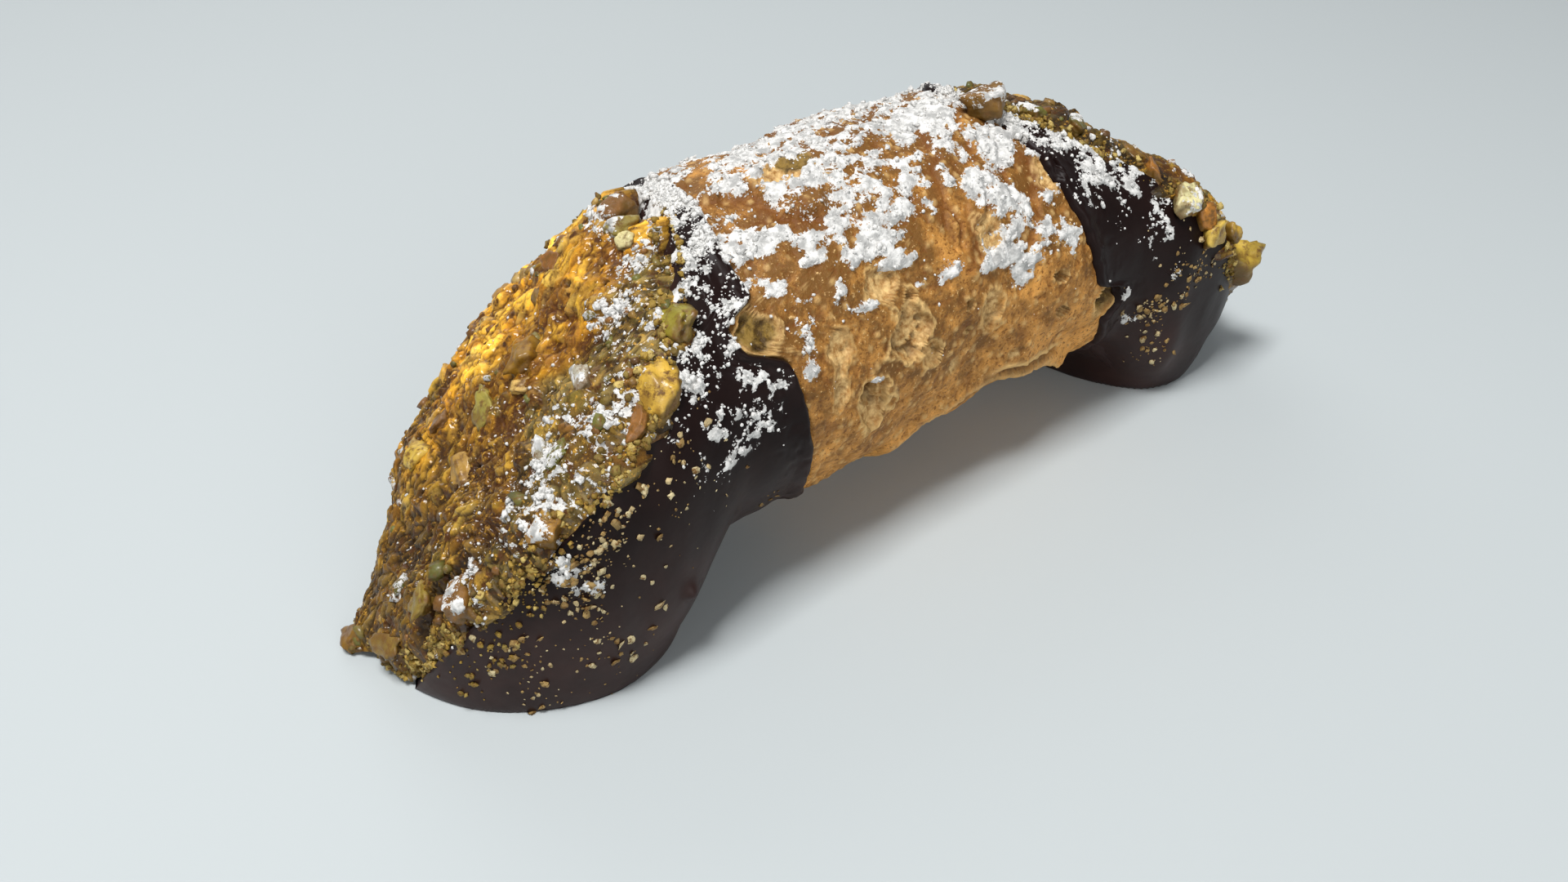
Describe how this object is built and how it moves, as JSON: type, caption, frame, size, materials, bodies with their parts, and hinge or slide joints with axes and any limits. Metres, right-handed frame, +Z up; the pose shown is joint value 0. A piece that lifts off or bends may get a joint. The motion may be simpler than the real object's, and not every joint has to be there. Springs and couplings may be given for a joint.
{
  "type": "cannoli pastry",
  "caption": "Fried dough tube with slanted mouths, cream filling crusted with chopped nuts, both ends dipped in dark chocolate that forms flat feet.",
  "frame": {"origin": "on the ground under the middle of the roll's box", "axes": "+Z up, +X along the tube towards its right end seen from the front, -Y the front"},
  "size_m": [0.125, 0.0412, 0.0421],
  "materials": {
    "fried_dough": "golden-brown fried dough, fine pits, matt with a faint oily sheen",
    "dark_chocolate": "set dark chocolate, satin",
    "nut_cream": "glossy pistachio cream with syrup and chopped nuts",
    "icing_sugar": "matt white powder"
  },
  "bodies": {
    "root": {"shell": "fried_dough", "chocolate_left": "dark_chocolate", "chocolate_right": "dark_chocolate", "filling": "nut_cream"}
  },
  "joints": []
}
